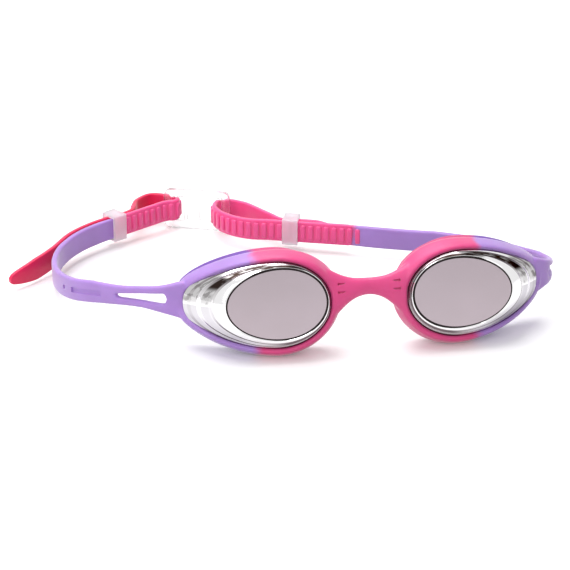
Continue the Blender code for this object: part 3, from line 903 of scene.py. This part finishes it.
# %% [markdown]
# ## Keepers and buckle
#
# The keepers are frosted sleeves and the buckle is a clear plate with two slots. Both are plain boxes with
# square openings, so a cube, a Boolean and a Bevel make them. The buckle's web also has two shallow panels
# sunk into each face, and the rest stands as ribs, which is how such thin plates are made stiff.

# %% Box helpers
BOX_SHARP, ROUNDED_SHARP, EDGE_ROUND = 30, 40, 0.35


def box_object(name, size, place=(0, 0, 0)):
    bm = bmesh.new()
    bmesh.ops.create_cube(bm, size=1.0)
    bmesh.ops.scale(bm, vec=Vector(size), verts=bm.verts)
    bmesh.ops.translate(bm, vec=Vector(place), verts=bm.verts)
    return finished(name, bm, BOX_SHARP)


def cut_out(target, cutter):
    cut = target.modifiers.new("cut", "BOOLEAN")
    cut.operation = "DIFFERENCE"
    cut.solver = "EXACT"
    cut.object = cutter
    bake(target)
    bpy.data.objects.remove(cutter)


def rounded_off(obj, segments):
    bevel = obj.modifiers.new("rounded", "BEVEL")
    bevel.width = EDGE_ROUND
    bevel.segments = segments
    bevel.limit_method = "ANGLE"
    bevel.harden_normals = True
    bake(obj)


def put(obj, flat, height, turn):
    """Moves millimetre geometry to its place in the CAD frame, and leaves the object at the origin."""
    where = Matrix.Translation((flat.x, flat.y, height)) @ Matrix.Rotation(turn, 4, "Z")
    obj.data.transform(Matrix.Translation(SHIFT) @ Matrix.Scale(MM, 4) @ where)
    obj.data.shade_smooth()
    obj.data.set_sharp_from_angle(angle=math.radians(ROUNDED_SHARP))


# %% Keepers
KEEPER_SIZE, KEEPER_LIFT = (6.0, 7.7, 10.3), (0, 0, 0.4)
OPENING_SIZE, OPENING_LIFT = (9.0, 5.5, 8.7), (0, 0, 0.15)


def make_keeper(side):
    name = SIDE_NAMES[side]
    keeper = box_object(f"{name}_frosted_keeper", KEEPER_SIZE, KEEPER_LIFT)
    cut_out(keeper, box_object("opening", OPENING_SIZE, OPENING_LIFT))
    rounded_off(keeper, 3)
    put(keeper, KEEPER_CENTRES[side], STRAP_HEIGHT, KEEPER_TURNS[side])
    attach(keeper, f"{name}_sleeve")
    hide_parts(f"{name}_keeper")
    return keeper


keepers = {side: make_keeper(side) for side in (LEFT, RIGHT)}

# %% Buckle
BUCKLE_SIZE, BUCKLE_CORNER = (26.2, 2.6, 16.0), 2.6
SLOT_SIZE, PANEL_SIZE = (4.6, 9.0, 10.2), (3.6, 0.9, 9.0)
PANEL_PLACE, PANEL_FACE = 2.5, 1.3


def make_buckle():
    plate = box_object("clear_back_buckle", BUCKLE_SIZE)
    bm = bmesh.new()
    bm.from_mesh(plate.data)
    corners = [e for e in bm.edges if abs((e.verts[0].co - e.verts[1].co).y) > 1.0]
    bmesh.ops.bevel(bm, geom=corners, offset=BUCKLE_CORNER, segments=6, affect="EDGES", profile=0.5)
    bm.to_mesh(plate.data)
    bm.free()
    for side in (LEFT, RIGHT):
        cut_out(plate, box_object("slot", SLOT_SIZE, (side * SLOT_PLACE, 0, 0)))
        for face in (-PANEL_FACE, PANEL_FACE):
            cut_out(plate, box_object("panel", PANEL_SIZE, (side * PANEL_PLACE, face, 0)))
    rounded_off(plate, 2)
    put(plate, BUCKLE_CENTRE, BUCKLE_SIZE[2] / 2, BUCKLE_TURN)
    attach(plate, "buckle")
    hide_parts("back_buckle")
    return plate


buckle = make_buckle()
print("keeper faces:", [len(keeper.data.polygons) for keeper in keepers.values()])
print("buckle faces:", len(buckle.data.polygons))

# %% [markdown]
# ## Shared shading
#
# Moulded rubber and plastic are never one flat colour: they have a fine grain, and slow differences in tone
# and gloss. A node group makes those once, from Object coordinates, and nearly every material uses it. A
# second group goes from one rubber colour to the other over a soft edge, as where two shots of silicone
# meet in the mould.

# %% Node helpers
NOISE_LOW, NOISE_HIGH = 0.3, 0.7


def feed(tree, socket, value):
    """Links an input to another socket, or sets it to a plain value."""
    if hasattr(value, "is_linked"):
        tree.links.new(value, socket)
    else:
        socket.default_value = value


def set_sockets(tree, node, **values):
    """Feeds a node's inputs by name, with an underscore for each space in the name."""
    for name, value in values.items():
        feed(tree, node.inputs[name.replace("_", " ")], value)


def add_node(tree, kind, **values):
    node = tree.nodes.new(f"ShaderNode{kind}")
    set_sockets(tree, node, **values)
    return node


def math_node(tree, operation, first, second=0.0):
    """A Math node whose inputs are sockets or plain numbers. Returns its output."""
    node = add_node(tree, "Math")
    node.operation = operation
    feed(tree, node.inputs[0], first)
    feed(tree, node.inputs[1], second)
    return node.outputs[0]


def mixed(tree, factor, first, second, blend="MIX"):
    """A colour Mix node. Its inputs are sockets, or a plain number and plain colours."""
    node = add_node(tree, "Mix")
    node.data_type = "RGBA"
    node.blend_type = blend
    feed(tree, node.inputs[0], factor)
    for index, value in ((6, first), (7, second)):
        feed(tree, node.inputs[index], value if hasattr(value, "is_linked") else (*value, 1.0))
    return node.outputs[2]


def remapped(tree, value, low, high, start=0.0, end=1.0, smooth=False):
    node = add_node(tree, "MapRange")
    node.interpolation_type = "SMOOTHSTEP" if smooth else "LINEAR"
    for index, number in enumerate((value, low, high, start, end)):
        feed(tree, node.inputs[index], number)
    return node.outputs[0]


def spread(tree, value, start=0.0, end=1.0):
    """Noise keeps to the middle of its range. This spreads it from start to end."""
    return remapped(tree, value, NOISE_LOW, NOISE_HIGH, start, end)


# %% Texture helpers
def noise(tree, coordinate, scale, detail):
    return add_node(tree, "TexNoise", Scale=scale, Detail=detail, Vector=coordinate).outputs["Fac"]


def object_place(tree):
    return add_node(tree, "TexCoord").outputs["Object"]


def uv_place(tree, name):
    node = add_node(tree, "UVMap")
    node.uv_map = name
    return node.outputs["UV"]


def parts_of(tree, vector):
    split = add_node(tree, "SeparateXYZ", Vector=vector)
    return split.outputs["X"], split.outputs["Y"]


def use_group(tree, group, **values):
    node = add_node(tree, "Group")
    node.node_tree = group
    set_sockets(tree, node, **values)
    return node


def new_material(name):
    made = bpy.data.materials.new(name)
    made.use_nodes = True
    return made, made.node_tree, made.node_tree.nodes["Principled BSDF"]


# %% Node groups
GRAIN_SCALE, GRAIN_DISTANCE, TONE_SCALE, WANDER_SCALE = 2600.0, 0.00012, 90.0, 160.0


def grain_group():
    """Fine bumps and a slow change of tone."""
    sockets = {"Bump Height": "Float"}, {"Normal": "Vector", "Tone": "Float"}
    tree, start, end = new_group("moulded_grain", "ShaderNodeTree", *sockets)
    place = object_place(tree)
    grain, strength = noise(tree, place, GRAIN_SCALE, 2.0), start.outputs["Bump Height"]
    bump = add_node(tree, "Bump", Distance=GRAIN_DISTANCE, Strength=strength, Height=grain)
    tone = noise(tree, place, TONE_SCALE, 4.0)
    set_sockets(tree, end, Normal=bump.outputs["Normal"], Tone=tone)
    return tree


def two_tone_group():
    """First colour below zero distance, second above it, with a soft and slightly uneven edge between."""
    inputs = {"First": "Color", "Second": "Color", "Distance": "Float", "Width": "Float"}
    tree, start, end = new_group("two_shot_colour", "ShaderNodeTree", inputs, {"Color": "Color"})
    wander = spread(tree, noise(tree, object_place(tree), WANDER_SCALE, 2.0), -0.35, 0.35)
    step = math_node(tree, "DIVIDE", start.outputs["Distance"], start.outputs["Width"])
    edge = remapped(tree, math_node(tree, "ADD", step, wander), -0.5, 0.5, smooth=True)
    colour = mixed(tree, edge, start.outputs["First"], start.outputs["Second"])
    tree.links.new(colour, end.inputs["Color"])
    return tree


GRAIN, TWO_TONE = grain_group(), two_tone_group()
print("node groups:", GRAIN.name, TWO_TONE.name)

# %% [markdown]
# ## Rubber
#
# The rubber is satin silicone: a broad soft shine and a little light that goes in and comes out again. The
# frame's colour depends on how far a point is from the seam between the two, so each vertex keeps that
# distance, and it stays with the rubber when the strap moves. The strap ends double back on themselves, so
# their finish goes by the length along the strap instead.

# %% Rubber colours
PINK, PURPLE = (0.68, 0.055, 0.22), (0.385, 0.215, 0.60)
COLOUR_FADE = {LEFT: 0.0, RIGHT: 1.0}
RUBBER_BUMP, RIDGE_BUMP, SEAL_BUMP = 0.25, 0.2, 0.3
SEAM_WIDTH, SEAL_SEAM_WIDTH = 0.0035, 0.004
# Where a strap end turns a deeper pink, in tenths of a metre along it
DEEPENS = (0.26, 0.46)
END_PINK, DEEP_PINK, DARK_PURPLE = (0.88, 0.08, 0.29), (0.74, 0.004, 0.08), (0.17, 0.055, 0.42)
SILICONE = {
    "Specular_IOR_Level": 0.45,
    "Sheen_Weight": 0.45,
    "Sheen_Roughness": 0.4,
    "Subsurface_Weight": 0.2,
    "Subsurface_Radius": (1.0, 0.35, 0.5),
    "Subsurface_Scale": 0.0015,
}


def rubber(name, colour_in, bump, **settings):
    """Satin silicone. colour_in makes its colour in the tree that it is given."""
    made, tree, shader = new_material(name)
    grain = use_group(tree, GRAIN, Bump_Height=bump)
    tone = grain.outputs["Tone"]
    shade = mixed(tree, 1.0, colour_in(tree), spread(tree, tone, 0.94, 1.06), "MULTIPLY")
    set_sockets(tree, shader, Base_Color=shade, Normal=grain.outputs["Normal"], **SILICONE)
    set_sockets(tree, shader, Roughness=spread(tree, tone, 0.36, 0.48), **settings)
    return made


def two_shot(tree, first, second, distance, width):
    colours = {"First": (*first, 1), "Second": (*second, 1)}
    return use_group(tree, TWO_TONE, Distance=distance, Width=width, **colours).outputs["Color"]


# %% Rubber on the frame and strap
def seam_distance(side, point):
    """How far a point lies into the purple, in metres. It is negative in the pink."""
    if point.y < HINGE_Y:
        return abs(point.x - NOSE) - SEAM_X
    seam = to_row(layer_point(side, COLOUR_PLACE[side] - COLOUR_FADE[side], -1))
    return (seam - point).dot(keeper_axes(side)[0].to_3d())


def keep_seam_distance(obj, side):
    layer = obj.data.attributes.new("into_purple", "FLOAT", "POINT")
    for slot, vert in zip(layer.data, obj.data.vertices):
        slot.value = seam_distance(side, vert.co)


def frame_colour(tree):
    """Pink at the front near the nose, purple on the temples, the arms and the strap."""
    distance = add_node(tree, "Attribute")
    distance.attribute_name = "into_purple"
    return two_shot(tree, PINK, PURPLE, distance.outputs["Fac"], SEAM_WIDTH)


def end_colour(tree):
    """Pink on the way to the buckle, and a deeper pink on the way back."""
    length = parts_of(tree, uv_place(tree, "along"))[0]
    return mixed(tree, remapped(tree, length, *DEEPENS, smooth=True), END_PINK, DEEP_PINK)


frame_finish = rubber("frame_rubber", frame_colour, RUBBER_BUMP)
end_finish = rubber("strap_end_rubber", end_colour, RUBBER_BUMP)
ridge_finish = rubber("ridge_rubber", lambda tree: END_PINK, RIDGE_BUMP)
for piece, side in ((pink_front, RIGHT), (purple[LEFT], LEFT), (purple[RIGHT], RIGHT)):
    keep_seam_distance(piece, side)
    coat(piece, frame_finish)
for band, _, _ in strap_ends.values():
    coat(band, end_finish)
ridges = {side: make_ridges(side, ridge_finish) for side in (LEFT, RIGHT)}
print("ridge faces:", [len(piece.data.polygons) for piece in ridges.values()])


# %% Rubber on the seals
def seal_colour(tree):
    """Pink by the nose and a dark purple by the temple."""
    across = parts_of(tree, object_place(tree))[0]
    from_nose = math_node(tree, "ABSOLUTE", math_node(tree, "SUBTRACT", across, NOSE))
    distance = math_node(tree, "SUBTRACT", from_nose, SEAM_X)
    return two_shot(tree, PINK, DARK_PURPLE, distance, SEAL_SEAM_WIDTH)


seal_finish = rubber("seal_rubber", seal_colour, SEAL_BUMP, Transmission_Weight=0.2, Sheen_Weight=0.0)
for seal in seals.values():
    coat(seal, seal_finish)
print("rubber finishes:", frame_finish.name, end_finish.name, ridge_finish.name, seal_finish.name)

# %% [markdown]
# ## Mirror coating
#
# The coating is a thin metal film, so the shader is metallic. On the window it is smoked, and it reflects
# the table softly. On the bezel it is bright. A groove between them is painted nearly black, as shade in
# it.
# A bright bezel alone looks empty on a plain table, so the finish also paints a room's reflection on it:
# dark bars and greys, a highlight arc by the temple, and lines of shade along the steps.


# %% Toned finishes
def toned_finish(name, first, second, bump=0.0, **settings):
    """A finish whose colour goes slowly from the first to the second and back, with or without a grain."""
    made, tree, shader = new_material(name)
    grain = use_group(tree, GRAIN, Bump_Height=bump)
    colour = mixed(tree, spread(tree, grain.outputs["Tone"]), first, second)
    set_sockets(tree, shader, Base_Color=colour, **settings)
    if bump:
        set_sockets(tree, shader, Normal=grain.outputs["Normal"])
    return made


# %% Bezel mirror
def near(tree, value, centre, reach):
    """One close to the centre value, fading to nothing at the reach."""
    away = math_node(tree, "ABSOLUTE", math_node(tree, "SUBTRACT", value, centre))
    return remapped(tree, away, reach * 0.7, reach, 1.0, 0.0, smooth=True)


# Painted reflection and shade: each patch's middle and reach round the lens, then out from the window
LONG_REFLECTED_BAR, SHORT_REFLECTED_BAR = ((0.158, 0.095), (0.5, 0.15)), ((0.265, 0.085), (0.3, 0.22))
REFLECTED_WEDGE, SHADE = ((0.075, 0.075), (0.75, 0.42)), ((0.97, 0.17), (0.8, 0.5))
SHADE_LINE_REACH, HIGHLIGHT_ARC_REACH, WIDE_SHADE_REACH, REFLECTION_STREAK_SCALE = 0.05, 0.055, 0.2, (26.0, 6.0, 1.0)


def bezel_mirror():
    """Bright metal painted with a room's reflection: dark bars on top, greys and a highlight arc by the
    temple, and shade lines all round.
    """
    made, tree, shader = new_material("bezel_mirror")
    uv = uv_place(tree, "round_and_out")
    around, out = parts_of(tree, uv)

    def times(first, second):
        return math_node(tree, "MULTIPLY", first, second)

    def either(first, second):
        return math_node(tree, "MAXIMUM", first, second)

    def patch(round_place, out_place):
        return times(near(tree, around, *round_place), near(tree, out, *out_place))

    # Painted reflection: stretched noise breaks up the dark bars and the grey wedge that stand for a room
    # seen in the metal.
    stretch = add_node(tree, "Mapping", Scale=REFLECTION_STREAK_SCALE, Vector=uv)
    reflection_streak = remapped(tree, noise(tree, stretch.outputs["Vector"], 1.0, 2.0), 0.50, 0.60, smooth=True)
    reflected_bars = either(patch(*LONG_REFLECTED_BAR), patch(*SHORT_REFLECTED_BAR))
    reflected_bars = times(reflected_bars, remapped(tree, reflection_streak, 0.0, 1.0, 1.0, 0.7))
    reflected_wedge = times(patch(*REFLECTED_WEDGE), remapped(tree, reflection_streak, 0.0, 1.0, 0.45, 0.9))
    # Painted shade: thin dark lines at the bezel steps and by the edge, faint by the temple, and wider ones
    # by the nose.
    shade_lines = near(tree, out, 0.9, SHADE_LINE_REACH)
    for place in BEZEL_STEPS:
        shade_lines = either(shade_lines, near(tree, out, place, SHADE_LINE_REACH))
    shade_lines = times(shade_lines, remapped(tree, near(tree, around, 0.5, 0.48), 0.0, 1.0, 0.15, 0.92))
    wide_shade_lines = either(near(tree, out, 0.42, WIDE_SHADE_REACH), near(tree, out, 0.92, WIDE_SHADE_REACH))
    shade_lines = either(shade_lines, times(wide_shade_lines, near(tree, around, 0.5, 0.3)))
    # Painted highlight: a bright arc on the outer bezel step by the temple.
    by_temple = remapped(tree, near(tree, around, 0.5, 0.44), 0.0, 1.0, 1.0, 0.0)
    highlight_arc = times(near(tree, out, BEZEL_STEPS[1], HIGHLIGHT_ARC_REACH), by_temple)
    # Painted reflection and shade, laid over the bright metal one after another.
    colour = (0.84, 0.83, 0.84)
    for mask, tint in (
        (reflected_wedge, (0.26, 0.25, 0.25)),
        (patch(*SHADE), (0.6, 0.585, 0.61)),
        (highlight_arc, (0.93, 0.92, 0.94)),
        (shade_lines, (0.16, 0.13, 0.14)),
        (reflected_bars, (0.03, 0.02, 0.017)),
    ):
        colour = mixed(tree, mask, colour, tint)
    set_sockets(tree, shader, Base_Color=colour, Specular_Tint=colour, Metallic=1.0, Roughness=0.1)
    return made


# %% Finishes on the lenses
SMOKE = ((0.405, 0.345, 0.375), (0.425, 0.36, 0.395))
# Painted shade: the groove round the window is made nearly black, for the shade that falls in it.
GROOVE_SHADE = ((0.012, 0.008, 0.008), (0.02, 0.013, 0.013))
INSIDE_GREY = ((0.10, 0.10, 0.12), (0.14, 0.13, 0.15))
lens_finishes = (
    toned_finish("window_mirror", *SMOKE, Metallic=1.0, Roughness=0.16),
    toned_finish("lens_groove_shade", *GROOVE_SHADE, Roughness=0.45, Specular_IOR_Level=0.15),
    bezel_mirror(),
    toned_finish("lens_inside", *INSIDE_GREY, Roughness=0.12, Coat_Weight=0.4),
)
for lens in lenses.values():
    for finish in lens_finishes:
        lens.data.materials.append(finish)
print("lens finishes:", [finish.name for finish in lens_finishes])

# %% [markdown]
# ## Clear and frosted plastic
#
# The buckle is clear, so light goes through it and only its edges show. The keepers are the same plastic
# with a frosted skin, which scatters the light and lets the colour behind show through.

# %% Plastics
PLASTIC_BUMP, PLASTIC_IOR, PLASTIC_DARKER = 0.08, 1.4, 0.97


def clear_plastic(name, colour, roughness, through, cover):
    darker = [value * PLASTIC_DARKER for value in colour]
    settings = {"Roughness": roughness, "Transmission_Weight": through, "IOR": PLASTIC_IOR, "Alpha": cover}
    return toned_finish(name, colour, darker, PLASTIC_BUMP, **settings)


frosted = clear_plastic("frosted_plastic", (0.97, 0.94, 1.0), 0.35, 0.7, 0.85)
clear = clear_plastic("clear_plastic", (0.97, 0.965, 0.98), 0.1, 0.95, 0.75)
for keeper in keepers.values():
    coat(keeper, frosted)
coat(buckle, clear)
print("materials:", len(bpy.data.materials))

# %% [markdown]
# ## Table, light and camera
#
# The photograph is a plain product shot on white. A white table and a white world give that, with one large
# soft light above and a weaker one in front. The camera stands in front and a little to the left, above the
# goggles, with a long lens. Its place was fitted to known points of the goggles in the photograph.

# %% Table
TABLE_HALF = 0.6
TABLE_WHITES, TABLE_LIT = ((0.93, 0.93, 0.93), (0.94, 0.94, 0.94)), (0.6, 0.6, 0.6)


def seen_rays(tree):
    """One for what the camera sees, also in mirrors and through clear plastic. Zero for soft light."""
    rays = add_node(tree, "LightPath").outputs
    seen = math_node(tree, "MAXIMUM", rays["Is Camera Ray"], rays["Is Glossy Ray"])
    return math_node(tree, "MAXIMUM", seen, rays["Is Transmission Ray"])


bm = bmesh.new()
bmesh.ops.create_grid(bm, x_segments=1, y_segments=1, size=TABLE_HALF)
table = finished("table_top", bm)
table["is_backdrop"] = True
table_finish, tree, shader = new_material("white_table")
cloud = spread(tree, noise(tree, object_place(tree), 6.0, 2.0))
set_sockets(
    tree,
    shader,
    Base_Color=mixed(tree, seen_rays(tree), TABLE_LIT, mixed(tree, cloud, *TABLE_WHITES)),
    Emission_Strength=remapped(tree, seen_rays(tree), 0.0, 1.0, 0.0, 0.12),
    Emission_Color=(1.0, 1.0, 1.0, 1.0),
    Roughness=0.3,
    Specular_IOR_Level=0.35,
)
table.data.materials.append(table_finish)

# %% World and lights
world = bpy.data.worlds.new("white_studio")
bpy.context.scene.world = world
world.use_nodes = True
tree = world.node_tree
shine = remapped(tree, seen_rays(tree), 0.0, 1.0, 0.45, 1.0)
set_sockets(tree, tree.nodes["Background"], Color=(1.0, 1.0, 1.0, 1.0), Strength=shine)


def soft_light(name, place, target, size, power):
    light = bpy.data.lights.new(name, "AREA")
    light.shape = "RECTANGLE"
    light.size, light.size_y = size
    light.energy = power
    obj = linked(name, light)
    obj.location = place
    obj.rotation_euler = (Vector(target) - Vector(place)).to_track_quat("-Z", "Y").to_euler()


soft_light("overhead_softbox", (-0.15, 0.2, 0.9), (0.0, 0.0, 0.0), (0.9, 0.8), 10.0)
soft_light("front_fill", (-0.7, -0.9, 0.65), (0.0, 0.0, 0.02), (1.6, 1.2), 9.0)

# %% Camera
AZIMUTH, ELEVATION, CAMERA_DISTANCE = math.radians(9.5), math.radians(24), 0.650
PHOTO_SIZE, FOCAL_PIXELS, SENSOR_WIDTH = 570, 1927.0, 36.0
# Where the photograph shows the point midway between the windows
MIDDLE_PIXEL = (370.9, 298.5)
looking = Vector(
    (
        math.sin(AZIMUTH) * math.cos(ELEVATION),
        math.cos(AZIMUTH) * math.cos(ELEVATION),
        -math.sin(ELEVATION),
    )
)
right = looking.cross(Vector((0, 0, 1))).normalized()
up = right.cross(looking)
between_windows = from_front((0, 0, WINDOW_RISE))
aside, below = [(pixel - PHOTO_SIZE / 2) / FOCAL_PIXELS for pixel in MIDDLE_PIXEL]
camera_data = bpy.data.cameras.new("camera")
camera_data.sensor_width = SENSOR_WIDTH
camera_data.lens = FOCAL_PIXELS / PHOTO_SIZE * SENSOR_WIDTH
camera_data.clip_start = 0.01
camera = linked("camera", camera_data)
camera.location = between_windows - (looking + right * aside - up * below) * CAMERA_DISTANCE
camera.rotation_euler = looking.to_track_quat("-Z", "Y").to_euler()
bpy.context.scene.camera = camera
bpy.context.scene.view_settings.view_transform = "Standard"
print("camera at", [round(v, 3) for v in camera.location], "lens", round(camera_data.lens, 1), "mm")

# %% [markdown]
# ## Sizes, and the end
#
# The box of the CAD model and that of the finished pieces are both printed. The finished pieces
# must stay inside the CAD model's box, give or take a little.

# %% Print both boxes
new_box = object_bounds()
for name, (low, high) in (("CAD box", cad_box), ("finished", new_box)):
    print(name, [round(v, 4) for v in high - low])
